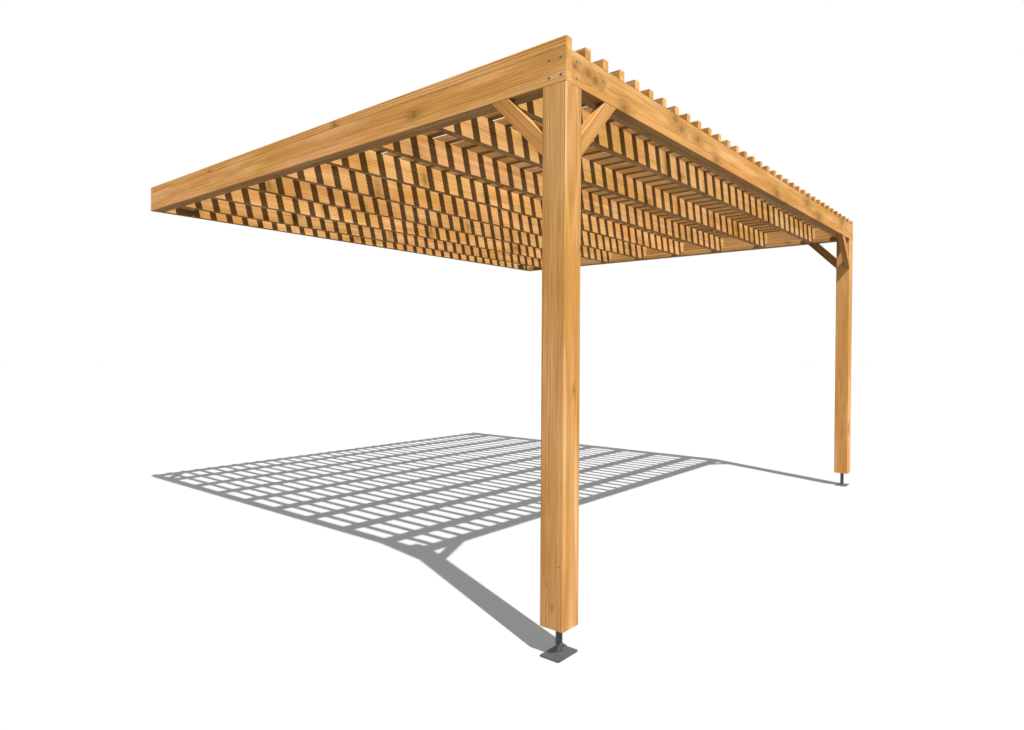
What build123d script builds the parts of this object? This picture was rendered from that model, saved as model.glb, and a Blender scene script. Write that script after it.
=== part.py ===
from build123d import *
import os
from math import sqrt

os.makedirs("parts", exist_ok=True)

# A lean-to pergola: two front posts on steel feet carry a frame of planed beams that is
# screwed to a wall, with joists across the frame and thin slats on top of them. The joists
# are notched over bearers, battens along the foot of the beams.
# Millimetres. The origin is the centre of the wall ledger's back face, +X runs along the
# wall to the right as seen from the front, +Y points into the wall and +Z points up.

# Overall sizes
LENGTH = 5000.0
DEPTH = 4050.0
HEADROOM = 2430.0

# Timber sections
POST_WIDTH = 120.0
BEAM_THICKNESS = 45.0
BEAM_HEIGHT = 145.0
JOIST_THICKNESS = 45.0
BEARER_SIZE = 45.0
SLAT_WIDTH = 45.0
SLAT_HEIGHT = 45.0
BRACE_WIDTH = 70.0
BRACE_THICKNESS = 45.0
EASED_EDGE = 2.5
SLAT_EASED_EDGE = 2.0

# Spacing and joinery
JOIST_COUNT = 8
SLAT_COUNT = 35
SLATS_PER_NODE = 5
BRACE_LEG = 290.0
JOIST_TO_BRACE_GAP = 8.0

# Steel feet
POST_TO_GROUND = 125.0
FOOT_PLATE_LENGTH = 150.0
FOOT_PLATE_WIDTH = 100.0
FOOT_PLATE_THICKNESS = 6.0
FOOT_PLATE_CORNER = 8.0
FOOT_STEM_DIAMETER = 30.0

# Levels and faces worked out from the sizes above
BEAM_BOTTOM = -BEAM_HEIGHT / 2
BEAM_TOP = BEAM_HEIGHT / 2
GROUND = BEAM_BOTTOM - HEADROOM
POST_BOTTOM = GROUND + POST_TO_GROUND
WALL = 0.0
FRONT = WALL - DEPTH
LEFT = -LENGTH / 2
LEFT_INSIDE = LEFT + BEAM_THICKNESS
POST_CENTRE_X = LEFT + POST_WIDTH / 2
POST_CENTRE_Y = FRONT + POST_WIDTH / 2
BEARER_CENTRE_Z = BEAM_BOTTOM + BEARER_SIZE / 2
BEARER_TOP = BEAM_BOTTOM + BEARER_SIZE


def eased(width, height, edge):
    """A timber's cross-section: a rectangle whose four corners are planed off a little."""
    outline = Rectangle(width, height)
    return chamfer(outline.vertices(), edge)


def timber_along_x(x_from, x_to, y_centre, z_centre, thickness, height, edge):
    """A timber that lies along X, on its narrow side."""
    start = Plane(origin=(x_from, y_centre, z_centre), x_dir=(0, 1, 0), z_dir=(1, 0, 0))
    return extrude(start * eased(thickness, height, edge), x_to - x_from)


def timber_along_y(y_from, y_to, x_centre, z_centre, thickness, height, edge):
    """A timber that lies along Y, on its narrow side."""
    start = Plane(origin=(x_centre, y_from, z_centre), x_dir=(-1, 0, 0), z_dir=(0, 1, 0))
    return extrude(start * eased(thickness, height, edge), y_to - y_from)


def mirrored(piece):
    """The same piece on the right side of the pergola."""
    return mirror(piece, Plane.YZ)


def make_post():
    """Left front post. Its head is notched on the two outer sides, so that the side beam
    and the front beam rest on its shoulders and a core rises behind them."""
    start = Plane(origin=(POST_CENTRE_X, POST_CENTRE_Y, POST_BOTTOM))
    shaft = extrude(start * eased(POST_WIDTH, POST_WIDTH, EASED_EDGE), BEAM_TOP - POST_BOTTOM)
    low_corner = Align.MIN
    side_notch = Pos(LEFT, FRONT, BEAM_BOTTOM) * Box(
        BEAM_THICKNESS, POST_WIDTH, BEAM_HEIGHT, align=(low_corner, low_corner, low_corner)
    )
    front_notch = Pos(LEFT, FRONT, BEAM_BOTTOM) * Box(
        POST_WIDTH, BEAM_THICKNESS, BEAM_HEIGHT, align=(low_corner, low_corner, low_corner)
    )
    return shaft - side_notch - front_notch


def make_foot_plate():
    """Flat steel plate that stands on the ground under the left post."""
    outline = RectangleRounded(FOOT_PLATE_LENGTH, FOOT_PLATE_WIDTH, FOOT_PLATE_CORNER)
    return extrude(Pos(POST_CENTRE_X, POST_CENTRE_Y, GROUND) * outline, FOOT_PLATE_THICKNESS)


def make_foot_stem():
    """Round steel stem between the foot plate and the underside of the left post."""
    base = GROUND + FOOT_PLATE_THICKNESS
    outline = Circle(FOOT_STEM_DIAMETER / 2)
    return extrude(Pos(POST_CENTRE_X, POST_CENTRE_Y, base) * outline, POST_BOTTOM - base)


def make_brace(corner, along, thickness_way):
    """A 45 degree brace that fills a corner: its two ends are cut to lie flat on the two
    timbers that meet there. One leg runs along the first, the other down the second."""
    inner_leg = BRACE_LEG - BRACE_WIDTH * sqrt(2)
    outline = Polygon(
        (BRACE_LEG, 0), (inner_leg, 0), (0, -inner_leg), (0, -BRACE_LEG), align=None
    )
    start = Plane(origin=corner, x_dir=along, z_dir=thickness_way)
    brace = extrude(start * outline, BRACE_THICKNESS)
    grain = Axis(corner, start.from_local_coords(Vector(1, 1, 0)) - Vector(corner))
    return chamfer(brace.edges().filter_by(grain), EASED_EDGE)


def front_knee_brace():
    """Between the left post's inner side and the underside of the front beam."""
    corner = (LEFT + POST_WIDTH, FRONT + BRACE_THICKNESS, BEAM_BOTTOM)
    return make_brace(corner, (1, 0, 0), (0, -1, 0))


def side_knee_brace():
    """Between the left post's back and the underside of the side beam."""
    corner = (LEFT, FRONT + POST_WIDTH, BEAM_BOTTOM)
    return make_brace(corner, (0, 1, 0), (1, 0, 0))


def wall_corner_brace():
    """Lies flat on the bearer, in the corner between the side beam and the wall ledger."""
    corner = (LEFT_INSIDE, WALL - BEAM_THICKNESS, BEARER_TOP)
    return make_brace(corner, (1, 0, 0), (0, 0, 1))


def side_bearer():
    """A batten along the foot of the side beam's inner face, from the post to the ledger."""
    return timber_along_y(
        FRONT + POST_WIDTH, WALL - BEAM_THICKNESS, LEFT_INSIDE + BEARER_SIZE / 2,
        BEARER_CENTRE_Z, BEARER_SIZE, BEARER_SIZE, EASED_EDGE
    )


def front_bearer():
    """A batten along the foot of the front beam's inner face, between the two posts."""
    return timber_along_x(
        LEFT + POST_WIDTH, -(LEFT + POST_WIDTH), FRONT + BEAM_THICKNESS + BEARER_SIZE / 2,
        BEARER_CENTRE_Z, BEARER_SIZE, BEARER_SIZE, EASED_EDGE
    )


def joist_centres():
    """Joists stand evenly between two set-backs. The last one clears the wall braces, and
    the first is as far from the front as the last is from the wall."""
    set_back = BEAM_THICKNESS + BRACE_LEG + JOIST_TO_BRACE_GAP + JOIST_THICKNESS / 2
    pitch = (DEPTH - 2 * set_back) / (JOIST_COUNT - 1)
    return [FRONT + set_back + number * pitch for number in range(JOIST_COUNT)]


def slat_centres():
    """The outer slats are flush with the side beams, and the others evenly between."""
    pitch = (LENGTH - SLAT_WIDTH) / (SLAT_COUNT - 1)
    return [LEFT + SLAT_WIDTH / 2 + number * pitch for number in range(SLAT_COUNT)]


def make_slat(x_centre):
    """One roof slat, from the front face to the wall, on top of the joists."""
    z_centre = BEAM_TOP + SLAT_HEIGHT / 2
    return timber_along_y(FRONT, WALL, x_centre, z_centre, SLAT_WIDTH, SLAT_HEIGHT, SLAT_EASED_EDGE)


def beam_across(y_centre, thickness):
    """A timber between the inner faces of the two side beams."""
    return timber_along_x(
        LEFT_INSIDE, -LEFT_INSIDE, y_centre, 0, thickness, BEAM_HEIGHT, EASED_EDGE
    )


def make_joist(y_centre):
    """A beam across the frame, notched at the foot of both ends to sit on the bearers."""
    left_notch = Pos(LEFT_INSIDE, y_centre, BEAM_BOTTOM) * Box(
        BEARER_SIZE, JOIST_THICKNESS, BEARER_SIZE, align=(Align.MIN, Align.CENTER, Align.MIN)
    )
    return beam_across(y_centre, JOIST_THICKNESS) - left_notch - mirrored(left_notch)


pieces = {}

left_side = {
    "post": make_post(),
    "foot_plate": make_foot_plate(),
    "foot_stem": make_foot_stem(),
    "side_beam": timber_along_y(
        FRONT, WALL, LEFT + BEAM_THICKNESS / 2, 0, BEAM_THICKNESS, BEAM_HEIGHT, EASED_EDGE
    ),
    "side_bearer": side_bearer(),
    "front_knee_brace": front_knee_brace(),
    "side_knee_brace": side_knee_brace(),
    "wall_corner_brace": wall_corner_brace(),
}
for name, piece in left_side.items():
    pieces["left_" + name] = piece
    pieces["right_" + name] = mirrored(piece)

pieces["front_beam"] = beam_across(FRONT + BEAM_THICKNESS / 2, BEAM_THICKNESS)
pieces["wall_ledger"] = beam_across(WALL - BEAM_THICKNESS / 2, BEAM_THICKNESS)
pieces["front_bearer"] = front_bearer()

for number, y_centre in enumerate(joist_centres(), start=1):
    pieces[f"joist_{number}"] = make_joist(y_centre)

slats = [make_slat(x_centre) for x_centre in slat_centres()]
for first in range(0, SLAT_COUNT, SLATS_PER_NODE):
    group = first // SLATS_PER_NODE + 1
    pieces[f"roof_slats_{group}"] = Compound(children=slats[first:first + SLATS_PER_NODE])

for name, piece in pieces.items():
    export_step(piece, f"parts/{name}.step")
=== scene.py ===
"""Finish of a wall-mounted lean-to pergola: sawn pine with growth rings and knots on every
timber, coated steel feet with their welds, the screws of the post heads, and a plain stage."""

from math import cos, pi, radians, sin

import bmesh
import bpy
import numpy as np
from bpy.props import FloatProperty, FloatVectorProperty, IntProperty, PointerProperty
from bpy.types import Operator, Panel, PropertyGroup
from mathutils import Matrix, Vector


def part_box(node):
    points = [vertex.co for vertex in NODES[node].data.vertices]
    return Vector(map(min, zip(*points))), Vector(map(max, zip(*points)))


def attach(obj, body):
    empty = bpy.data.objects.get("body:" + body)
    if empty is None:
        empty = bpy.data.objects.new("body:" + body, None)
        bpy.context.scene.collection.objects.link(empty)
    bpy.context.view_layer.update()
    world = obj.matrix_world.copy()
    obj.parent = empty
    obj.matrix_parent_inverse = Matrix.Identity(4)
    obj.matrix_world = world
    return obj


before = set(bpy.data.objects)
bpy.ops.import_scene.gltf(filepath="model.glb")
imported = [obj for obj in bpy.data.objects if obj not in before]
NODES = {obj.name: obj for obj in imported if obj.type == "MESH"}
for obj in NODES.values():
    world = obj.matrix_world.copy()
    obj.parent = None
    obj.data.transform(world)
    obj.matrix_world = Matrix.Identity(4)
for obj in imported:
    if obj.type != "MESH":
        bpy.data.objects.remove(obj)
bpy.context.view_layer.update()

bl_info = {
    "name": "Lean-to Pergola Finish",
    "version": (1, 0, 0),
    "blender": (4, 5, 0),
    "location": "View3D > Sidebar > Pergola",
    "description": "Pine timbers, steel feet, screws and a plain stage for a lean-to pergola",
    "category": "3D View",
}

X_WAY = Vector((1, 0, 0))
Y_WAY = Vector((0, 1, 0))
Z_WAY = Vector((0, 0, 1))
SIDES = (("left", -1), ("right", 1))
POST_SECTION = (0.120, 0.120)
BEAM_SECTION = (0.145, 0.045)
BEARER_SECTION = (0.045, 0.045)
BRACE_SECTION = (0.070, 0.045)
BEAM_FACE = BEAM_SECTION[1] / 2
SCREW_COLUMNS = 48
RECESS_ROWS = 2
PICTURE_WIDTH = 1024
SENSOR_WIDTH = 36.0
WHITE = (1.0, 1.0, 1.0, 1.0)


# --- sizes and colours


class PergolaPine(PropertyGroup):
    """The pine of all timbers."""

    early_wood: FloatVectorProperty(
        name="Early Wood", description="Colour of the pale part of a growth ring",
        default=(0.64, 0.335, 0.125), subtype="COLOR", min=0, max=1,
    )
    late_wood: FloatVectorProperty(
        name="Late Wood", description="Colour of the dark line that ends a growth ring",
        default=(0.38, 0.148, 0.040), subtype="COLOR", min=0, max=1,
    )
    knot_wood: FloatVectorProperty(
        name="Knot Wood", description="Colour of a knot's core and of the grain round it",
        default=(0.27, 0.130, 0.026), subtype="COLOR", min=0, max=1,
    )
    heart_tint: FloatVectorProperty(
        name="Heart Tint", description="Share of each colour that the heartwood keeps",
        default=(0.90, 0.87, 0.78), subtype="COLOR", min=0, max=1,
    )
    stray_tint: FloatVectorProperty(
        name="Stray Tint",
        description="Share of each colour in the light that one timber throws on another",
        default=(0.34, 0.46, 0.70), subtype="COLOR", min=0, max=1,
    )
    ring_width: FloatProperty(
        name="Ring Width", description="Mean width of a growth ring",
        default=0.0088, unit="LENGTH", min=0.001, max=0.03,
    )
    knot_spacing: FloatProperty(
        name="Knot Spacing", description="Length of timber that has one knot at most",
        default=0.62, unit="LENGTH", min=0.1, max=3,
    )
    knot_radius: FloatProperty(
        name="Knot Radius", description="Radius of a middling knot",
        default=0.009, unit="LENGTH", min=0.001, max=0.04,
    )
    relief: FloatProperty(
        name="Grain Relief", description="Height of the planed grain that the light picks out",
        default=0.0006, unit="LENGTH", min=0, max=0.005,
    )


class PergolaScrews(PropertyGroup):
    """The screws that hold the beams to the post heads."""

    head_radius: FloatProperty(
        name="Head Radius", description="Radius of a screw's head",
        default=0.0076, unit="LENGTH", min=0.002, max=0.02,
    )
    head_rise: FloatProperty(
        name="Head Rise", description="Height of the head's dome over the timber",
        default=0.0009, unit="LENGTH", min=0.0002, max=0.005,
    )
    recess_radius: FloatProperty(
        name="Recess Radius", description="Radius of the six-lobed recess",
        default=0.0042, unit="LENGTH", min=0.001, max=0.01,
    )
    side_rows: FloatVectorProperty(
        name="Side Rows",
        description="Distances of the two rows on a side beam from the front face",
        size=2, default=(0.025, 0.086), unit="LENGTH",
    )
    front_inset: FloatProperty(
        name="Front Inset",
        description="Distance of the pair on the front beam from the outer side face",
        default=0.080, unit="LENGTH",
    )
    heights: FloatVectorProperty(
        name="Heights",
        description="Heights of the lower and the upper screws over the beams' undersides",
        size=2, default=(0.033, 0.106), unit="LENGTH",
    )


class PergolaFeet(PropertyGroup):
    """The coated steel feet."""

    coat: FloatVectorProperty(
        name="Coat", description="Colour of the steel's dull coat",
        default=(0.052, 0.061, 0.059), subtype="COLOR", min=0, max=1,
    )
    worn_coat: FloatVectorProperty(
        name="Worn Coat", description="Colour of the coat where it is rubbed thin",
        default=(0.10, 0.11, 0.107), subtype="COLOR", min=0, max=1,
    )
    weld_radius: FloatProperty(
        name="Weld Radius", description="Radius of the weld bead round a stem",
        default=0.0048, unit="LENGTH", min=0.001, max=0.01,
    )
    weld_ripples: IntProperty(
        name="Weld Ripples", description="Number of overlapping drops in the bead",
        default=22, min=3, max=80,
    )


class PergolaStage(PropertyGroup):
    """Floor, light and camera."""

    floor_tone: FloatProperty(
        name="Floor Tone", description="Grey of the floor as the camera sees it lit",
        default=0.42, subtype="FACTOR", min=0, max=1,
    )
    floor_lift: FloatProperty(
        name="Shadow Lift", description="Light that the floor keeps in the object's shadow",
        default=0.17, subtype="FACTOR", min=0, max=1,
    )
    floor_bounce: FloatProperty(
        name="Floor Bounce", description="Grey of the floor for the light that it throws back",
        default=0.13, subtype="FACTOR", min=0, max=1,
    )
    sun_power: FloatProperty(
        name="Sun Power", description="Strength of the key light", default=6.7, min=0
    )
    sun_travel: FloatVectorProperty(
        name="Sun Travel", description="Direction in which the key light travels",
        default=(0.41, 1.0, -1.58), subtype="DIRECTION",
    )
    fill_power: FloatProperty(
        name="Fill Power", description="Strength of the soft light from the left",
        default=1.25, min=0,
    )
    fill_travel: FloatVectorProperty(
        name="Fill Travel", description="Direction in which the soft light travels",
        default=(1.0, 0.10, -0.05), subtype="DIRECTION",
    )
    sky_power: FloatProperty(
        name="Sky Power", description="Strength of the even light from all sides",
        default=0.22, min=0,
    )
    eye: FloatVectorProperty(
        name="Eye", description="Place of the camera",
        default=(-4.783, -5.629, -1.203), subtype="TRANSLATION", unit="LENGTH",
    )
    heading: FloatProperty(
        name="Heading",
        description="Turn of the view from straight at the wall towards the right",
        default=radians(49.954), subtype="ANGLE",
    )
    tilt: FloatProperty(
        name="Tilt", description="Rise of the view over level",
        default=radians(-0.743), subtype="ANGLE",
    )
    roll: FloatProperty(
        name="Roll", description="Turn of the camera about its own line of sight",
        default=radians(0.269), subtype="ANGLE",
    )
    focal_pixels: FloatProperty(
        name="Focal Length",
        description="Focal length in pixels of a picture 1024 pixels wide",
        default=662.8, subtype="PIXEL", min=100,
    )
    centre_pixel: FloatVectorProperty(
        name="Optical Centre",
        description="Pixel of a 1024 x 730 picture that lies on the camera's axis",
        size=2, default=(501.8, 361.4),
    )
    picture_centre: FloatVectorProperty(
        name="Picture Centre", description="Middle pixel of a 1024 x 730 picture",
        size=2, default=(512.0, 365.0),
    )


class PergolaFinish(PropertyGroup):
    """All settings of the finish."""

    pine: PointerProperty(type=PergolaPine)
    screws: PointerProperty(type=PergolaScrews)
    feet: PointerProperty(type=PergolaFeet)
    stage: PointerProperty(type=PergolaStage)


# --- node formulas


class Signal:
    """A number, vector or colour in a node tree. Sums and products of numbers add nodes."""

    def __init__(self, sheet, socket):
        self.sheet = sheet
        self.socket = socket

    def __add__(self, other):
        return self.sheet.math("ADD", self, other)

    def __sub__(self, other):
        return self.sheet.math("SUBTRACT", self, other)

    def __rsub__(self, other):
        return self.sheet.math("SUBTRACT", other, self)

    def __mul__(self, other):
        return self.sheet.math("MULTIPLY", self, other)

    def __truediv__(self, other):
        return self.sheet.math("DIVIDE", self, other)


class NodeSheet:
    """Writes a node tree as formulas: a call adds nodes and gives back what comes out."""

    def __init__(self, tree):
        self.tree = tree
        self.count = 0

    def node(self, kind, inputs=None, **settings):
        made = self.tree.nodes.new(kind)
        made.location = (170 * (self.count // 6), -180 * (self.count % 6))
        self.count += 1
        for name, value in settings.items():
            setattr(made, name, value)
        for key, value in (inputs or {}).items():
            self.feed(made.inputs[key], value)
        return made

    def feed(self, socket, value):
        if isinstance(value, Signal):
            self.tree.links.new(value.socket, socket)
        else:
            socket.default_value = value

    def out(self, node, key=0):
        return Signal(self, node.outputs[key])

    def math(self, operation, *values):
        return self.out(self.node("ShaderNodeMath", dict(enumerate(values)), operation=operation))

    def most(self, first, *others):
        """The greatest of the values."""
        for other in others:
            first = self.math("MAXIMUM", first, other)
        return first

    def vector(self, operation, *values, scale=None):
        inputs = dict(enumerate(values))
        if scale is not None:
            inputs["Scale"] = scale
        made = self.node("ShaderNodeVectorMath", inputs, operation=operation)
        is_number = operation in ("DOT_PRODUCT", "LENGTH", "DISTANCE")
        return self.out(made, "Value" if is_number else "Vector")

    def split(self, vector):
        made = self.node("ShaderNodeSeparateXYZ", {0: vector})
        return [self.out(made, axis) for axis in range(3)]

    def join(self, x, y, z):
        return self.out(self.node("ShaderNodeCombineXYZ", {0: x, 1: y, 2: z}))

    def step(self, value, low, high, to_low=0.0, to_high=1.0):
        """Smooth step: to_low where value is under low, to_high where it is over high."""
        inputs = {0: value, 1: low, 2: high, 3: to_low, 4: to_high}
        return self.out(self.node("ShaderNodeMapRange", inputs, interpolation_type="SMOOTHSTEP"))

    def bell(self, distance, spread):
        """1 where distance is 0, falling to 0 over about two spreads."""
        ratio = distance / spread
        return self.math("EXPONENT", ratio * ratio * -1.0)

    def noise(self, vector, scale, detail=2.0, rough=0.5, key="Fac"):
        inputs = {"Vector": vector, "Scale": scale, "Detail": detail, "Roughness": rough}
        return self.out(self.node("ShaderNodeTexNoise", inputs), key)

    def drawn_out(self, vector, scales, detail, key="Fac"):
        """Noise with its own scale for each of the three ways."""
        return self.noise(self.vector("MULTIPLY", vector, scales), 1.0, detail, key=key)

    def dice(self, first, second, key="Color"):
        """Random values that stay the same wherever first and second stay the same."""
        inputs = {"Vector": self.join(first, second, 0.0)}
        return self.out(self.node("ShaderNodeTexWhiteNoise", inputs, noise_dimensions="2D"), key)

    def mix(self, share, first, second, blend="MIX"):
        made = self.node("ShaderNodeMix", data_type="RGBA", blend_type=blend)
        for key, value in ((0, share), (6, first), (7, second)):
            self.feed(made.inputs[key], value)
        return self.out(made, 2)

    def tinted(self, colour, share):
        """The colour times a share of red, green and blue: three numbers, or a signal."""
        share = share if isinstance(share, Signal) else (*share, 1.0)
        return self.mix(1.0, colour, share, "MULTIPLY")

    def group(self, group, inputs):
        """Adds the group, and gives back its outputs by name."""
        made = self.node("ShaderNodeGroup", node_tree=group)
        for key, value in inputs.items():
            self.feed(made.inputs[key], value)
        return {socket.name: Signal(self, socket) for socket in made.outputs}


def sockets(**names):
    """The kind of each socket of a group, from the names of each kind with commas between."""
    return {label: kind for kind, labels in names.items() for label in labels.split(", ")}


KNOT_PARTS = sockets(float="Push, Core, Rim, Halo")
SURFACE_PARTS = sockets(color="Colour", float="Roughness, Height")


def effect(name, inputs, outputs, formula):
    """A shader node group, built the first time that it is asked for. formula gets the sheet
    and the inputs by name, and gives back the outputs by name."""
    found = bpy.data.node_groups.get(name)
    if found:
        return found
    tree = bpy.data.node_groups.new(name, "ShaderNodeTree")
    for way, wanted in (("INPUT", inputs), ("OUTPUT", outputs)):
        for label, kind in wanted.items():
            kind = "NodeSocket" + kind.capitalize()
            tree.interface.new_socket(name=label, in_out=way, socket_type=kind)
    sheet = NodeSheet(tree)
    source = sheet.node("NodeGroupInput")
    given = {label: sheet.out(source, label) for label in inputs}
    sheet.node("NodeGroupOutput", formula(sheet, given))
    return tree


# --- pine


def branch_knot():
    """One branch that crosses the timber. It is a rod from the pith through Target, tilted a
    little up the tree. Push lifts the growth rings round it, so that they flow past."""
    tilt, least_radius = 0.22, 0.0001
    grain_stretch = (1.0, 1.0, 0.42)

    def formula(s, given):
        flat_way = s.vector("SUBTRACT", given["Target"], given["Pith"])
        run = s.vector("LENGTH", flat_way)
        way = s.vector("NORMALIZE", s.vector("ADD", flat_way, s.join(0.0, 0.0, run * tilt)))
        root = s.vector("ADD", given["Pith"], s.join(0.0, 0.0, given["Along"] - run * tilt))
        offset = s.vector("SUBTRACT", given["Point"], root)
        reach = s.vector("DOT_PRODUCT", offset, way)
        across = s.vector("SUBTRACT", offset, s.vector("SCALE", way, scale=reach))
        distance = s.vector("LENGTH", across)
        flow_distance = s.vector("LENGTH", s.vector("MULTIPLY", across, grain_stretch))
        radius = given["Radius"]
        safe_radius = s.most(radius, least_radius)
        present = s.step(reach, 0.0, 0.02) * s.math("GREATER_THAN", radius, 2 * least_radius)
        ragged = s.drawn_out(offset, (55.0, 55.0, 26.0), 2.0)
        blurred = distance + (ragged - 0.5) * safe_radius * 0.9
        core = s.step(blurred / safe_radius, 0.35, 1.15, 1.0, 0.0) * present
        rim = s.bell(blurred - safe_radius * 0.8, safe_radius * 0.28) * present
        smeared = flow_distance + (ragged - 0.5) * safe_radius * 2.4
        halo = s.bell(smeared, safe_radius * 2.5) * present
        push = s.bell(flow_distance, safe_radius * 1.8) * safe_radius * 1.7 * present
        return {"Push": push, "Core": core, "Rim": rim, "Halo": halo}

    inputs = sockets(vector="Point, Pith, Target", float="Along, Radius")
    return effect("Branch Knot", inputs, KNOT_PARTS, formula)


def scattered_knots():
    """A branch at random in each length of Spacing: its place along the timber, the point of
    the cross-section that it passes and its radius are drawn from the length's number."""
    cell_margin = 0.25

    def formula(s, given):
        spacing = given["Spacing"]
        along = s.split(given["Point"])[2]
        cell = s.math("FLOOR", along / spacing)
        place = s.split(s.dice(cell, given["Seed"]))
        size = s.split(s.dice(cell, given["Seed"] + 51.7))
        half = s.split(given["Half Section"])
        target = [(place[way] - 0.5) * 1.7 * half[way] for way in (0, 1)]
        here = (cell + cell_margin + place[2] * (1 - 2 * cell_margin)) * spacing
        grows = s.math("LESS_THAN", size[1], given["Chance"])
        inputs = {
            "Point": given["Point"],
            "Pith": given["Pith"],
            "Target": s.join(*target, 0.0),
            "Along": here,
            "Radius": given["Radius"] * (size[0] * 0.9 + 0.55) * grows,
        }
        return s.group(branch_knot(), inputs)

    inputs = sockets(vector="Point, Pith, Half Section", float="Seed, Spacing, Chance, Radius")
    return effect("Scattered Knots", inputs, KNOT_PARTS, formula)


def growth_rings():
    """Shells round a wandering pith. Each ring is pale, darkens slowly and ends in a sharp
    line, and each ring has its own strength."""

    def formula(s, given):
        shifted = s.vector("ADD", given["Point"], s.join(0.0, 0.0, given["Seed"] * 7.31))
        wander = s.drawn_out(shifted, (0.0, 0.0, 0.9), 1.0, key="Color")
        wave = s.drawn_out(shifted, (9.0, 9.0, 1.3), 2.0)
        ripple = s.drawn_out(shifted, (60.0, 60.0, 5.0), 2.0)
        sway = s.vector("SCALE", s.vector("SUBTRACT", wander, (0.5, 0.5, 0.5)), scale=0.035)
        rel = s.vector("SUBTRACT", s.vector("ADD", given["Point"], sway), given["Pith"])
        flat = s.vector("MULTIPLY", rel, (1.0, 1.0, 0.0))
        depth = s.vector("LENGTH", flat) + (wave - 0.5) * 0.012 + (ripple - 0.5) * 0.0022
        weather = s.noise(s.join(depth * 34.0, given["Seed"], 0.0), 1.0, 1.0)
        phase = (depth + (weather - 0.5) * 0.022 + given["Push"]) / given["Ring Width"]
        number = s.math("FLOOR", phase)
        part = s.math("FRACT", phase)
        strength = s.dice(number, given["Seed"], "Value")
        darkening = s.step(part, 0.32, 0.80) * s.step(part, 0.86, 0.98, 1.0, 0.0)
        late = darkening * (strength * strength * 0.85 + 0.15)
        spring = s.step(part, 0.04, 0.30, 1.0, 0.0) * s.step(part, 0.0, 0.04)
        return {"Late": late, "Spring": spring}

    inputs = sockets(vector="Point, Pith", float="Seed, Ring Width, Push")
    return effect("Growth Rings", inputs, sockets(float="Late, Spring"), formula)


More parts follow.
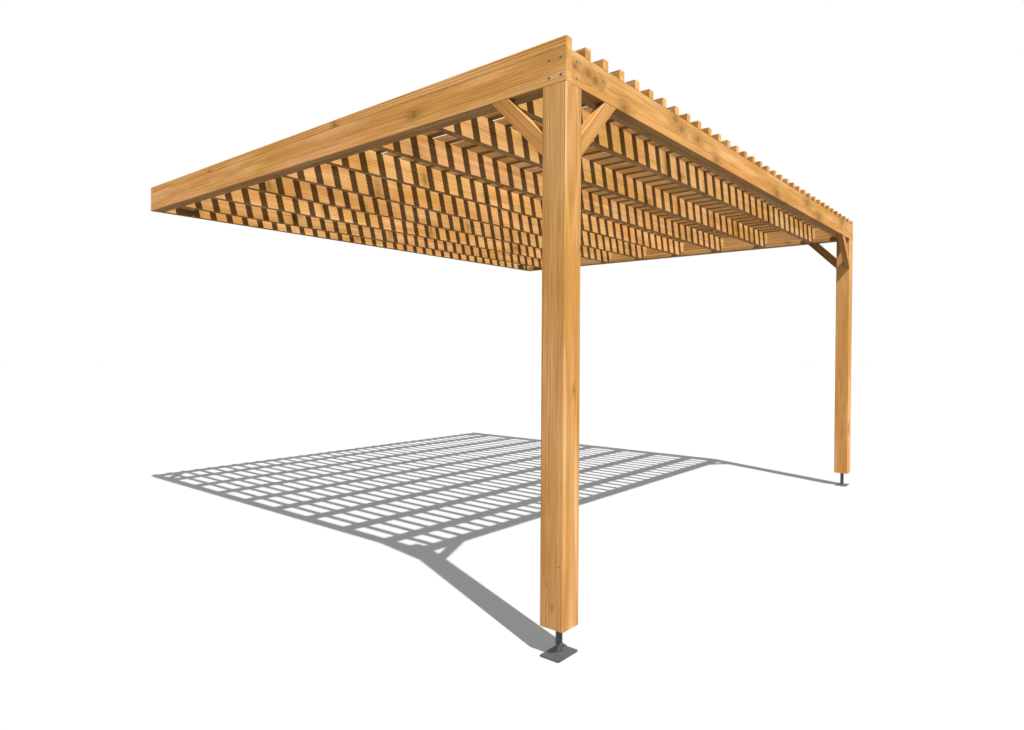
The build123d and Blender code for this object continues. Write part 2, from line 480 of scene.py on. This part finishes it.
def sawn_pine():
    """Colour, roughness and relief of a planed pine board. Point is in the board's own
    frame: across its width, across its thickness, and along the grain."""
    pin_shares = {"Spacing": 0.61, "Chance": 0.8, "Radius": 0.3}
    halo_share, core_share, rim_share, worn_share = 0.76, 0.56, 0.35, 0.35

    def formula(s, given):
        seed = given["Seed"]
        point = given["Point"]
        shifted = s.vector("ADD", point, s.join(seed * 0.37, seed * 0.53, seed * 3.19))
        board = {"Point": point, "Pith": given["Pith"]}
        cells = {**board, "Half Section": given["Half Section"], "Seed": seed}
        pin_cells = {**cells, "Seed": seed + 13.3}
        for name, pin_share in pin_shares.items():
            cells[name] = given["Knot " + name]
            pin_cells[name] = cells[name] * pin_share
        knots = s.group(scattered_knots(), cells)
        pins = s.group(scattered_knots(), pin_cells)
        push = knots["Push"] + pins["Push"] + given["Knot Push"]
        core = s.most(knots["Core"], pins["Core"], given["Knot Core"])
        rim = s.most(knots["Rim"], pins["Rim"], given["Knot Rim"])
        halo = s.most(knots["Halo"], given["Knot Halo"])
        growth = {**board, "Seed": seed, "Ring Width": given["Ring Width"], "Push": push}
        rings = s.group(growth_rings(), growth)
        late = rings["Late"] * (1.0 - core * 0.7)

        tone = s.drawn_out(shifted, (5.0, 5.0, 0.7), 2.0)
        resin = s.drawn_out(shifted, (12.0, 12.0, 1.5), 3.0)
        patch = s.drawn_out(shifted, (24.0, 24.0, 3.1), 3.0)
        fibre = s.drawn_out(shifted, (700.0, 700.0, 9.0), 2.0)
        streak = s.drawn_out(shifted, (130.0, 130.0, 3.0), 3.0)
        dashes = s.step(s.drawn_out(shifted, (310.0, 310.0, 17.0), 1.0), 0.70, 0.78)
        along_face = s.math("ABSOLUTE", s.split(given["Facing"])[2])
        end_grain = s.step(along_face, 0.75, 0.95)
        side_grain = 1.0 - end_grain

        contrast = given["Contrast"] * (1.0 - end_grain * 0.45)
        colour = s.mix(late * contrast, given["Early Wood"], given["Late Wood"])
        pink = s.tinted(colour, (1.02, 0.97, 0.90))
        yellow = s.tinted(colour, (0.99, 1.02, 0.88))
        colour = s.mix(s.step(tone, 0.35, 0.65), pink, yellow)
        deep = s.tinted(colour, (0.86, 0.80, 0.62))
        pale = s.tinted(colour, (1.06, 1.10, 1.25))
        colour = s.mix(s.step(resin, 0.34, 0.66), deep, pale)
        heart_depth = s.vector("DOT_PRODUCT", point, given["Heart Way"]) + (tone - 0.5) * 0.05
        heart = s.step(heart_depth - given["Heart Line"], -0.008, 0.008)
        colour = s.mix(heart, colour, s.tinted(colour, given["Heart Tint"]))
        change = (patch - 0.5) * 0.40 + (streak - 0.5) * 0.46 + (fibre - 0.5) * 0.26
        change = change + rings["Spring"] * contrast * 0.14 - dashes * side_grain * 0.30
        shade = s.join(change + 1.0, change * 1.25 + 1.0, change * 1.8 + 1.0)
        colour = s.tinted(colour, shade)
        tones = given["Tone"] * side_grain + given["End Tone"] * end_grain
        colour = s.vector("SCALE", colour, scale=tones)
        colour = s.mix(halo * halo_share, colour, given["Knot Wood"])
        colour = s.mix(core * core_share, colour, given["Knot Wood"])
        dark_rim = s.tinted(given["Knot Wood"], (0.42, 0.36, 0.34))
        colour = s.mix(rim * rim_share, colour, dark_rim)

        half = s.split(given["Half Section"])
        place = s.split(point)
        to_edge = s.most(*(half[way] - s.math("ABSOLUTE", place[way]) for way in (0, 1)))
        rubbed = s.step(to_edge + (patch - 0.5) * 0.006, 0.0008, 0.0042, 1.0, 0.0)
        rubbed = rubbed * side_grain
        worn = s.tinted(colour, (1.10, 1.13, 1.22))
        colour = s.mix(rubbed * worn_share, colour, worn)

        rough = late * -0.10 + (fibre - 0.5) * 0.16 + end_grain * 0.10 + rubbed * 0.06
        rough = rough - core * 0.10 + 0.72
        height = late * 0.55 + (fibre - 0.5) * 0.35 - dashes * 0.4 + rim * -0.5 + core * 0.3
        return {"Colour": colour, "Roughness": rough, "Height": height}

    inputs = sockets(
        vector="Point, Facing, Pith, Half Section, Heart Way",
        float="Seed, Ring Width, Contrast, Tone, End Tone, Heart Line, Knot Spacing, "
        "Knot Chance, Knot Radius, Knot Push, Knot Core, Knot Rim, Knot Halo",
        color="Early Wood, Late Wood, Knot Wood, Heart Tint",
    )
    return effect("Sawn Pine", inputs, SURFACE_PARTS, formula)


def slat_row():
    """Folds a row of like slats onto one: Point comes back measured from the middle of its
    own slat, with the slat's number and a pith drawn at random for each number. Tone is a
    random tone times painted shade on the slats inside the roof and painted light on the
    slat on the roof's outer side."""

    def formula(s, given):
        x, y, z = s.split(given["Point"])
        number = s.math("ROUND", x / given["Pitch"])
        local = s.join(x - number * given["Pitch"], y, z)
        drawn = s.split(s.dice(number, given["Seed"]))
        turn = drawn[0] * (2 * pi)
        far = drawn[1] * 0.09 + 0.035
        pith = s.join(s.math("COSINE", turn) * far, s.math("SINE", turn) * far, 0.0)
        # Painted shade and painted light: slats inside the roof are darkened to 0.78, the outer
        # slat is lightened to 1.12.
        outer = s.math("COMPARE", number, given["Outer Number"], 0.5)
        tone = (drawn[2] * 0.14 + 0.93) * (outer * 0.34 + 0.78)
        return {"Point": local, "Number": number, "Pith": pith, "Tone": tone}

    inputs = sockets(vector="Point", float="Pitch, Seed, Outer Number")
    outputs = sockets(vector="Point, Pith", float="Number, Tone")
    return effect("Slat Row", inputs, outputs, formula)


def board_frame(along, width_way):
    """Rotation from the row frame to a board's frame: width, thickness, along the grain."""
    along = along.normalized()
    return Matrix((width_way, along.cross(width_way), along))


def blank_sheet(holder):
    """The sheet of a material or a world, emptied of its nodes."""
    holder.use_nodes = True
    holder.node_tree.nodes.clear()
    return NodeSheet(holder.node_tree)


def new_material(name):
    """A node material with nothing but a Principled shader, and the sheet to write it on."""
    material = bpy.data.materials.new(name)
    sheet = blank_sheet(material)
    shader = sheet.node("ShaderNodeBsdfPrincipled")
    output = sheet.node("ShaderNodeOutputMaterial")
    sheet.feed(output.inputs["Surface"], sheet.out(shader))
    return material, sheet, shader


def feed_surface(s, shader, surface, relief):
    """Feeds the roughness and the relief of a group's surface to the shader."""
    s.feed(shader.inputs["Roughness"], surface["Roughness"])
    inputs = {"Strength": 1.0, "Distance": relief, "Height": surface["Height"]}
    s.feed(shader.inputs["Normal"], s.out(s.node("ShaderNodeBump", inputs), "Normal"))


def pine_material(name, pine, board):
    """Sawn pine laid out on one board, or on a row of slats. board says where it lies, the
    way its grain runs, where its pith is, and any knots that have a set place."""
    material, s, shader = new_material(name)
    turn = board_frame(board["along"], board["width_way"])
    angles = turn.to_euler("XYZ")
    centre = board["centre"]
    where = s.node("ShaderNodeTexCoord")
    seed = board["seed"]
    pith = (*board["pith"], 0.0)
    tone = board.get("tone", 1.0)
    point = s.out(where, "Object")
    if "pitch" in board:
        local = s.vector("SUBTRACT", point, tuple(centre))
        inputs = {"Point": local, "Pitch": board["pitch"], "Seed": seed}
        inputs["Outer Number"] = board["outer_number"]
        row = s.group(slat_row(), inputs)
        point, pith = row["Point"], row["Pith"]
        tone = row["Tone"] * tone
        seed = row["Number"] * 1.73 + seed
        centre = Vector((0, 0, 0))
    inputs = {"Vector": point, "Location": turn @ -centre, "Rotation": angles}
    point = s.out(s.node("ShaderNodeMapping", inputs, vector_type="POINT"))
    inputs = {"Vector": s.out(where, "Normal"), "Rotation": angles}
    facing = s.out(s.node("ShaderNodeMapping", inputs, vector_type="VECTOR"))

    placed = None
    for across, through, along, radius in board.get("knots", ()):
        inputs = {
            "Point": point,
            "Pith": board.get("knot_root", pith),
            "Target": (across, through, 0.0),
            "Along": along,
            "Radius": radius,
        }
        knot = s.group(branch_knot(), inputs)
        if placed:
            push = placed["Push"] + knot["Push"]
            placed = {part: s.most(placed[part], knot[part]) for part in ("Core", "Rim", "Halo")}
            placed["Push"] = push
        else:
            placed = knot

    width, thickness = board["section"]
    values = {
        "Point": point,
        "Facing": facing,
        "Pith": pith,
        "Half Section": (width / 2, thickness / 2, 0.0),
        "Seed": seed,
        "Ring Width": pine.ring_width * board.get("ring_share", 1.0),
        "Contrast": board.get("contrast", 0.8),
        "Tone": tone,
        "End Tone": board.get("end_tone", 1.22),
        "Knot Spacing": pine.knot_spacing,
        "Knot Chance": board.get("knot_chance", 0.5),
        "Knot Radius": pine.knot_radius * board.get("knot_share", 1.0),
        "Heart Way": board.get("heart_way", (0.0, 0.0, 0.0)),
        "Heart Line": board.get("heart_line", 1.0),
        "Early Wood": (*pine.early_wood, 1.0),
        "Late Wood": (*pine.late_wood, 1.0),
        "Knot Wood": (*pine.knot_wood, 1.0),
        "Heart Tint": (*board.get("heart_tint", pine.heart_tint), 1.0),
    }
    for part, value in (placed or {}).items():
        values["Knot " + part] = value
    wood = s.group(sawn_pine(), values)
    # Light that has been thrown on by another timber finds a duller, less orange pine.
    stray = s.out(s.node("ShaderNodeLightPath"), "Is Diffuse Ray")
    dull = s.tinted(wood["Colour"], pine.stray_tint)
    s.feed(shader.inputs["Base Color"], s.mix(stray, wood["Colour"], dull))
    feed_surface(s, shader, wood, pine.relief)
    shader.inputs["Specular IOR Level"].default_value = 0.12
    return material


def dress(node_name, material):
    """Puts the material on a CAD node, whose shape stays as it is."""
    mesh = NODES[node_name].data
    mesh.materials.clear()
    mesh.materials.append(material)


def middle(node_name):
    """Middle of a CAD node's corners, which is on the centreline of a brace too."""
    points = {tuple(round(c, 5) for c in v.co) for v in NODES[node_name].data.vertices}
    return Vector(np.mean(list(points), axis=0))


def lay_pine(pine, node_name, along, width_way, section, pith, seed, **more):
    """Dresses a timber or a row of slats in pine. pith is where the tree's middle lies, from
    the board's own, across its width and its thickness. seed sets all that is drawn at
    random, and more is what the board has of its own, such as knots that have a set place."""
    lowest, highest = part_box(node_name)
    board = {"centre": (lowest + highest) / 2, "along": along, "width_way": width_way}
    board.update(section=section, pith=pith, seed=seed, **more)
    dress(node_name, pine_material(node_name + "_pine", pine, board))


# --- surfaces


def surface_object(name, points, faces, material):
    """A mesh object at the origin whose points are already in their place."""
    mesh = bpy.data.meshes.new(name)
    mesh.from_pydata(points.tolist(), [], faces.tolist())
    mesh.validate()
    mesh.update()
    mesh.materials.append(material)
    made = bpy.data.objects.new(name, mesh)
    bpy.context.scene.collection.objects.link(made)
    return made


def grid_faces(rows, columns, closed_rows=False, closed_columns=True):
    """Quads of a grid of points. Its rows and its columns can close on themselves."""
    row = np.arange(rows if closed_rows else rows - 1)
    column = np.arange(columns if closed_columns else columns - 1)
    r, c = np.meshgrid(row, column, indexing="ij")
    r_next, c_next = (r + 1) % rows, (c + 1) % columns
    corners = ((r, c), (r, c_next), (r_next, c_next), (r_next, c))
    return np.stack([i * columns + j for i, j in corners], axis=-1).reshape(-1, 4)


def screw_head(sizes):
    """Points and quads of one screw head that looks along +Z. A profile of radius and height
    turns about Z, and where it forms the recess its radius swells and shrinks six times a
    turn. The first row is the recess floor's middle and the last the middle of the back."""
    lobes = 6
    recess, head = sizes.recess_radius, sizes.head_radius
    radius = np.array([0.0, 0.92 * recess, recess, 0.62 * head, 0.86 * head, head, head, 0.0])
    height = sizes.head_rise * np.array([0.12, 0.12, 1.0, 0.96, 0.72, 0.3, 0.0, 0.0])
    waves = np.array([0.0, 0.13, 0.13, 0.0, 0.0, 0.0, 0.0, 0.0])
    turn = np.linspace(0, 2 * pi, SCREW_COLUMNS, endpoint=False)
    swell = 1 + waves[:, None] * np.cos(lobes * turn)[None, :]
    r = radius[:, None] * swell
    points = np.stack(
        [r * np.cos(turn), r * np.sin(turn), np.broadcast_to(height[:, None], r.shape)], axis=-1
    )
    return points.reshape(-1, 3), grid_faces(len(radius), SCREW_COLUMNS)[:, ::-1]


def weld_bead(stem_radius, bead_radius, ripples):
    """Points and quads of a bead round a stem that stands on the plane z = 0. A small circle
    is carried round the stem, and its radius ripples where one drop of weld laps the next."""
    rows, columns = 14, 12 * ripples
    turn = np.linspace(0, 2 * pi, columns, endpoint=False)[None, :]
    ring = np.linspace(0, 2 * pi, rows, endpoint=False)[:, None]
    lap = np.abs(np.sin(ripples * turn / 2 + 0.5 * np.cos(ring)))
    drift = 0.06 * np.sin(3 * turn + 0.7) + 0.04 * np.sin(7 * turn + 2.1)
    r = bead_radius * (0.88 + 0.16 * lap + drift)
    out = stem_radius + r * np.cos(ring)
    z = r * np.sin(ring)
    points = np.stack([out * np.cos(turn), out * np.sin(turn), z], axis=-1)
    return points.reshape(-1, 3), grid_faces(rows, columns, closed_rows=True)[:, ::-1]


def copies(points, faces, places):
    """The same surface at each place. A place is a 4 x 4 matrix."""
    all_points, all_faces = [], []
    for number, place in enumerate(places):
        matrix = np.array(place)
        all_points.append(points @ matrix[:3, :3].T + matrix[:3, 3])
        all_faces.append(faces + number * len(points))
    return np.concatenate(all_points), np.concatenate(all_faces)


def tidy_surface(made, smooth_angle):
    """Merges the doubled points of the poles, turns the faces outwards, and shades the
    surface smooth where it bends less than the angle."""
    mesh = bmesh.new()
    mesh.from_mesh(made.data)
    bmesh.ops.remove_doubles(mesh, verts=mesh.verts, dist=1e-6)
    bmesh.ops.dissolve_degenerate(mesh, edges=mesh.edges, dist=1e-7)
    bmesh.ops.recalc_face_normals(mesh, faces=mesh.faces)
    mesh.to_mesh(made.data)
    mesh.free()
    made.data.shade_smooth()
    made.data.set_sharp_from_angle(angle=smooth_angle)


# --- steel


def worn_steel():
    """Colour, roughness and relief of a dull coat on steel: orange-peel unevenness, faint
    rubbed patches and small chips."""

    def formula(s, given):
        point = given["Point"]
        cloud = s.noise(point, 26.0, 4.0, 0.6)
        grain = s.noise(point, 900.0, 2.0)
        chips = s.step(s.noise(point, 240.0, 3.0, 0.65), 0.66, 0.72)
        rubbed = s.step(cloud, 0.52, 0.72) * 0.45
        colour = s.mix(rubbed, given["Coat"], given["Worn Coat"])
        colour = s.mix(chips * 0.5, colour, given["Worn Coat"])
        light = (grain - 0.5) * 0.2 + (cloud - 0.5) * 0.25 + 1.0
        colour = s.tinted(colour, s.join(light, light, light))
        rough = rubbed * -0.18 + (grain - 0.5) * 0.2 + 0.52
        height = grain * 0.5 - chips * 0.6
        return {"Colour": colour, "Roughness": rough, "Height": height}

    inputs = sockets(vector="Point", color="Coat, Worn Coat")
    return effect("Worn Steel Coat", inputs, SURFACE_PARTS, formula)


def steel_material(name, coat, worn_coat, relief):
    """A coated or plated steel surface, from the colours of its coat."""
    material, s, shader = new_material(name)
    point = s.out(s.node("ShaderNodeTexCoord"), "Object")
    values = {"Point": point, "Coat": (*coat, 1.0), "Worn Coat": (*worn_coat, 1.0)}
    steel = s.group(worn_steel(), values)
    s.feed(shader.inputs["Base Color"], steel["Colour"])
    feed_surface(s, shader, steel, relief)
    return material


# --- operators


class PERGOLA_OT_posts(Operator):
    """Pine on the two posts, with straight grain on the side faces"""

    bl_idname = "pergola.posts"
    bl_label = "Posts"

    def execute(self, context):
        pine = context.scene.pergola.pine
        for number, (side, _) in enumerate(SIDES):
            own = {"tone": (0.94, 1.06)[number]}
            if side == "left":
                face = -POST_SECTION[0] / 2
                pins = ((face, 0.025, -1.0415, 0.0018), (face, -0.005, -1.1335, 0.0026))
                own.update(knots=pins, knot_root=(0.0, 0.0, 0.0))
            own.update(knot_chance=0.55, heart_way=(0.7, 0.7, 0.0), heart_line=-0.008)
            own.update(pith=(-0.012, 0.17), seed=11.3 + 4.1 * number)
            lay_pine(pine, side + "_post", Z_WAY, X_WAY, POST_SECTION, **own)
        return {"FINISHED"}


class PERGOLA_OT_beams(Operator):
    """Pine on the side beams, the front beam, the wall ledger and the bearers"""

    bl_idname = "pergola.beams"
    bl_label = "Beams"

    def execute(self, context):
        pine = context.scene.pergola.pine
        for number, (side, sign) in enumerate(SIDES):
            own = {"pith": (-0.21, -0.01 * sign), "seed": 21.7 + 3.3 * number}
            own.update(knots=((-0.008, BEAM_FACE * sign, -1.099, 0.012),), knot_chance=0.0)
            own.update(knot_root=(0.0, -0.1 * sign, 0.0), contrast=1.0, tone=1.08, end_tone=0.98)
            lay_pine(pine, side + "_side_beam", Y_WAY, Z_WAY, BEAM_SECTION, **own)
            own = {"pith": (0.02, 0.13), "seed": 24.9 + 2.9 * number}
            lay_pine(pine, side + "_side_bearer", Y_WAY, Z_WAY, BEARER_SECTION, **own)
        # Each knot's height over the middle of the beam, its place from the left, its radius.
        set_knots = (
            (0.010, -2.433, 0.009), (0.014, -2.328, 0.015), (0.000, -2.272, 0.015),
            (-0.052, -2.012, 0.014), (0.045, -1.475, 0.014), (0.015, -1.400, 0.014),
            (0.010, -1.190, 0.014), (-0.045, -0.920, 0.014), (-0.040, 0.190, 0.021),
            (0.025, 0.945, 0.023), (-0.040, 1.280, 0.021), (0.040, 2.060, 0.023),
        )
        own = {"pith": (0.002, -0.055), "seed": 5.2}
        own.update(knots=[(up, BEAM_FACE, along, radius) for up, along, radius in set_knots])
        own.update(knot_chance=0.15, contrast=0.4, tone=0.99)
        own.update(heart_way=(-1.0, 0.0, 0.0), heart_line=0.010, heart_tint=(0.93, 0.85, 0.70))
        lay_pine(pine, "front_beam", X_WAY, Z_WAY, BEAM_SECTION, **own)
        lay_pine(pine, "wall_ledger", X_WAY, Z_WAY, BEAM_SECTION, pith=(-0.09, 0.06), seed=6.9)
        lay_pine(pine, "front_bearer", X_WAY, Z_WAY, BEARER_SECTION, pith=(-0.03, 0.12), seed=8.3)
        return {"FINISHED"}


class PERGOLA_OT_joists(Operator):
    """Pine on the joists, each with its own pith and knots"""

    bl_idname = "pergola.joists"
    bl_label = "Joists"

    def execute(self, context):
        pine = context.scene.pergola.pine
        draw = np.random.default_rng(17)
        names = sorted(name for name in NODES if name.startswith("joist_"))
        set_knots = {
            "joist_1": (-0.032, BEAM_FACE, -0.668, 0.011),
            "joist_2": (-0.055, BEAM_FACE, -0.220, 0.012),
            "joist_7": (-0.010, BEAM_FACE, 1.130, 0.020),
        }
        for number, node in enumerate(names):
            pith = (draw.choice((-1, 1)) * draw.uniform(0.13, 0.22), draw.uniform(-0.04, 0.04))
            own = {"pith": pith, "seed": 31.0 + 2.7 * number}
            own.update(knot_chance=0.6, contrast=1.0, tone=draw.uniform(0.92, 1.10))
            if node in set_knots:
                own.update(knots=(set_knots[node],), knot_root=(0.0, -0.1, 0.0))
            lay_pine(pine, node, X_WAY, Z_WAY, BEAM_SECTION, **own)
        return {"FINISHED"}


class PERGOLA_OT_braces(Operator):
    """Pine on the six corner braces, with the grain along each brace"""

    bl_idname = "pergola.braces"
    bl_label = "Braces"

    def execute(self, context):
        pine = context.scene.pergola.pine
        number = 0
        for side, sign in SIDES:
            inward = -sign
            # For each kind: grain's way, width's way, pith, contrast and tone.
            kinds = {
                "front_knee_brace": ((inward, 0, 1), (-inward, 0, 1), (0.14, 0.09), 0.45, 0.86),
                "side_knee_brace": ((0, 1, 1), (0, -1, 1), (-0.16, 0.01), 1.0, 0.85),
                "wall_corner_brace": ((inward, 1, 0), (-inward, 1, 0), (0.1, 0.03), 0.8, 1.0),
            }
            for kind, (along, width_way, pith, contrast, tone) in kinds.items():
                node = f"{side}_{kind}"
                along, width_way = Vector(along), Vector(width_way).normalized()
                own = {"pith": pith, "seed": 51.0 + 1.9 * number, "centre": middle(node)}
                own.update(ring_share=1.2, knot_chance=0.2, contrast=contrast, tone=tone)
                own.update(heart_line=-1.0, heart_tint=(1.0, 0.93, 0.84))
                lay_pine(pine, node, along, width_way, BRACE_SECTION, **own)
                number += 1
        return {"FINISHED"}


class PERGOLA_OT_slats(Operator):
    """Pine on the roof slats, each slat with its own figure"""

    bl_idname = "pergola.slats"
    bl_label = "Roof Slats"

    def execute(self, context):
        pine = context.scene.pergola.pine
        names = sorted(name for name in NODES if name.startswith("roof_slats_"))
        slats_per_node, no_slat = 5, -9
        count = slats_per_node * len(names)
        lowest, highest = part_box(names[0])[0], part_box(names[-1])[1]
        width = highest.z - lowest.z
        pitch = (highest.x - lowest.x - width) / (count - 1)
        for number, node in enumerate(names):
            low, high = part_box(node)
            first = Vector((low.x + width / 2, (low.y + high.y) / 2, (low.z + high.z) / 2))
            # outer_number picks the slat that gets painted light; the others get painted shade on
            # their side faces, while their ends keep end_tone.
            outer_number = {0: 0, len(names) - 1: slats_per_node - 1}.get(number, no_slat)
            own = {"pith": (0, 0), "seed": 71.0 + 11.9 * number, "centre": first}
            own.update(pitch=pitch, outer_number=outer_number, end_tone=1.1)
            own.update(knot_chance=0.35, knot_share=0.7)
            lay_pine(pine, node, Y_WAY, Z_WAY, (width, width), **own)
        return {"FINISHED"}


class PERGOLA_OT_feet(Operator):
    """Dull coat on the steel feet, and the weld bead between each stem and its plate"""

    bl_idname = "pergola.feet"
    bl_label = "Steel Feet"

    def execute(self, context):
        feet = context.scene.pergola.feet
        steel = steel_material("foot_steel_coat", feet.coat, feet.worn_coat, relief=0.0002)
        for side, _ in SIDES:
            dress(side + "_foot_plate", steel)
            dress(side + "_foot_stem", steel)
            low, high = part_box(side + "_foot_stem")
            plate_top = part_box(side + "_foot_plate")[1].z
            stem_radius = (high.x - low.x) / 2
            points, faces = weld_bead(stem_radius, feet.weld_radius, feet.weld_ripples)
            centre = Vector(((low.x + high.x) / 2, (low.y + high.y) / 2, plate_top))
            points, faces = copies(points, faces, [Matrix.Translation(centre)])
            weld = surface_object(side + "_foot_weld", points, faces, steel)
            tidy_surface(weld, radians(50))
            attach(weld, "root")
        return {"FINISHED"}


class PERGOLA_OT_screws(Operator):
    """The screws that hold the side beams and the front beam to the post heads"""

    bl_idname = "pergola.screws"
    bl_label = "Screws"

    def execute(self, context):
        sizes = context.scene.pergola.screws
        # dark is painted shade: the near-black coat of the recess stands for the shadow inside
        # it, not for a colour of the zinc.
        bright, dark = (0.24, 0.225, 0.19), (0.03, 0.028, 0.025)
        zinc = steel_material("screw_zinc", bright, (0.34, 0.32, 0.28), relief=0.00005)
        recess = steel_material("screw_recess_painted_shade", dark, (0.05, 0.048, 0.044), relief=0.00005)
        head_points, head_faces = screw_head(sizes)
        turn_step, front_turn = 40, 25
        for side, sign in SIDES:
            low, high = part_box(side + "_side_beam")
            outer = low.x if sign < 0 else high.x
            places = []
            for up in sizes.heights:
                for back in sizes.side_rows:
                    spot = Vector((outer, low.y + back, low.z + up))
                    places.append(screw_place(spot, X_WAY * sign, turn_step * len(places)))
                spot = Vector((outer - sign * sizes.front_inset, low.y, low.z + up))
                turn = front_turn + turn_step * len(places)
                places.append(screw_place(spot, -Y_WAY, turn))
            points, faces = copies(head_points, head_faces, places)
            screws = surface_object(side + "_head_screws", points, faces, zinc)
            screws.data.materials.append(recess)
            # The recess rows take the second material, the painted shade.
            recess_shade_faces = np.arange(len(head_faces)) < RECESS_ROWS * SCREW_COLUMNS
            slots = np.tile(recess_shade_faces, len(places)).astype(np.int32)
            screws.data.polygons.foreach_set("material_index", slots)
            tidy_surface(screws, radians(35))
            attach(screws, "root")
        return {"FINISHED"}


def screw_place(spot, outward, degrees):
    """Matrix that puts a screw head on a face, turned by some degrees about its own axis."""
    facing = Matrix((Z_WAY.cross(outward), Z_WAY, outward)).transposed().to_4x4()
    return Matrix.Translation(spot) @ facing @ Matrix.Rotation(radians(degrees), 4, "Z")


class PERGOLA_OT_stage(Operator):
    """Pale floor, key light, soft fill, white surroundings and the camera"""

    bl_idname = "pergola.stage"
    bl_label = "Stage"

    def execute(self, context):
        look = context.scene.pergola.stage
        lay_floor(look)
        hang_lights(look)
        light_surroundings(context.scene, look)
        set_camera(context.scene, look)
        context.scene.view_settings.view_transform = "Standard"
        return {"FINISHED"}


def seen_or_stray(s, seen, stray):
    """One shader for what the camera, a reflection or a pane of glass shows, and another for
    stray light."""
    path = s.node("ShaderNodeLightPath")
    rays = ("Is Camera Ray", "Is Glossy Ray", "Is Transmission Ray")
    shown = s.most(*(s.out(path, ray) for ray in rays))
    return s.out(s.node("ShaderNodeMixShader", {0: shown, 1: s.out(stray), 2: s.out(seen)}))


def lay_floor(look):
    """A level square, z = ground, as a grid of two parameters. It is white where the sun
    reaches it, and throws back less light than it shows, so that undersides stay dark."""
    half, count, gap = 60.0, 9, 0.0004
    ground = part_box("left_foot_plate")[0].z - gap
    edge = np.linspace(-half, half, count)
    x, y = np.meshgrid(edge, edge, indexing="xy")
    points = np.stack([x, y, np.full_like(x, ground)], axis=-1).reshape(-1, 3)
    faces = grid_faces(count, count, closed_columns=False)
    material = bpy.data.materials.new("pale_floor")
    s = blank_sheet(material)
    tone, lift, bounce = look.floor_tone, look.floor_lift, look.floor_bounce
    shown = s.node("ShaderNodeBsdfDiffuse", {"Color": (tone, tone, tone, 1.0)})
    glow = s.node("ShaderNodeEmission", {"Color": (lift, lift, lift, 1.0), "Strength": 1.0})
    both = s.node("ShaderNodeAddShader", {0: s.out(shown), 1: s.out(glow)})
    dull = s.node("ShaderNodeBsdfDiffuse", {"Color": (bounce, bounce, bounce, 1.0)})
    s.node("ShaderNodeOutputMaterial", {"Surface": seen_or_stray(s, both, dull)})
    floor = surface_object("floor", points, faces, material)


def hang_lights(look):
    """A crisp sun from the front left, and a wide weak one from the left."""
    distance = 12
    lamps = (
        ("key_sun", look.sun_power, radians(0.6), Vector(look.sun_travel)),
        ("left_fill", look.fill_power, radians(50), Vector(look.fill_travel)),
    )
    for name, power, spread, travel in lamps:
        lamp = bpy.data.lights.new(name, "SUN")
        lamp.energy = power
        lamp.angle = spread
        made = bpy.data.objects.new(name, lamp)
        made.rotation_euler = travel.to_track_quat("-Z", "Y").to_euler()
        made.location = -travel.normalized() * distance
        bpy.context.scene.collection.objects.link(made)


def light_surroundings(scene, look):
    """White where the surroundings are seen, and a weak even light otherwise."""
    world = bpy.data.worlds.new("pale_surroundings")
    s = blank_sheet(world)
    even = s.node("ShaderNodeBackground", {"Color": WHITE, "Strength": look.sky_power})
    seen = s.node("ShaderNodeBackground", {"Color": WHITE, "Strength": 1.0})
    s.node("ShaderNodeOutputWorld", {"Surface": seen_or_stray(s, seen, even)})
    scene.world = world


def set_camera(scene, look):
    """The camera of the picture: at eye, turned by heading, tilt and roll."""
    aside, ahead, flat = sin(look.heading), cos(look.heading), cos(look.tilt)
    forward = Vector((aside * flat, ahead * flat, sin(look.tilt)))
    level = Vector((ahead, -aside, 0))
    upright = level.cross(forward)
    right = level * cos(look.roll) + upright * sin(look.roll)
    up = upright * cos(look.roll) - level * sin(look.roll)
    data = bpy.data.cameras.new("picture_camera")
    data.sensor_fit = "HORIZONTAL"
    data.sensor_width = SENSOR_WIDTH
    data.lens = look.focal_pixels / PICTURE_WIDTH * SENSOR_WIDTH
    data.shift_x = (look.picture_centre[0] - look.centre_pixel[0]) / PICTURE_WIDTH
    data.shift_y = (look.centre_pixel[1] - look.picture_centre[1]) / PICTURE_WIDTH
    data.clip_end = 300
    camera = bpy.data.objects.new("picture_camera", data)
    turn = Matrix((right, up, -forward)).transposed().to_4x4()
    camera.matrix_world = Matrix.Translation(look.eye) @ turn
    scene.collection.objects.link(camera)
    scene.camera = camera


# --- panel and registration


STEPS = (
    PERGOLA_OT_posts, PERGOLA_OT_beams, PERGOLA_OT_joists, PERGOLA_OT_braces,
    PERGOLA_OT_slats, PERGOLA_OT_feet, PERGOLA_OT_screws, PERGOLA_OT_stage,
)
SETTINGS = (PergolaPine, PergolaScrews, PergolaFeet, PergolaStage, PergolaFinish)


class PERGOLA_PT_finish(Panel):
    """Lists the steps of the finish and their settings"""

    bl_idname = "PERGOLA_PT_finish"
    bl_label = "Pergola Finish"
    bl_space_type = "VIEW_3D"
    bl_region_type = "UI"
    bl_category = "Pergola"

    def draw(self, context):
        finish = context.scene.pergola
        for group in (finish.pine, finish.screws, finish.feet, finish.stage):
            box = self.layout.box()
            for name in group.__annotations__:
                box.prop(group, name)
        for step in STEPS:
            self.layout.operator(step.bl_idname)


CLASSES = (*SETTINGS, *STEPS, PERGOLA_PT_finish)


def register():
    for entry in CLASSES:
        bpy.utils.register_class(entry)
    bpy.types.Scene.pergola = PointerProperty(type=PergolaFinish)


def unregister():
    del bpy.types.Scene.pergola
    for entry in reversed(CLASSES):
        bpy.utils.unregister_class(entry)


def main():
    register()
    bpy.ops.pergola.posts()
    bpy.ops.pergola.beams()
    bpy.ops.pergola.joists()
    bpy.ops.pergola.braces()
    bpy.ops.pergola.slats()
    bpy.ops.pergola.feet()
    bpy.ops.pergola.screws()
    bpy.ops.pergola.stage()


if __name__ == "__main__":
    main()
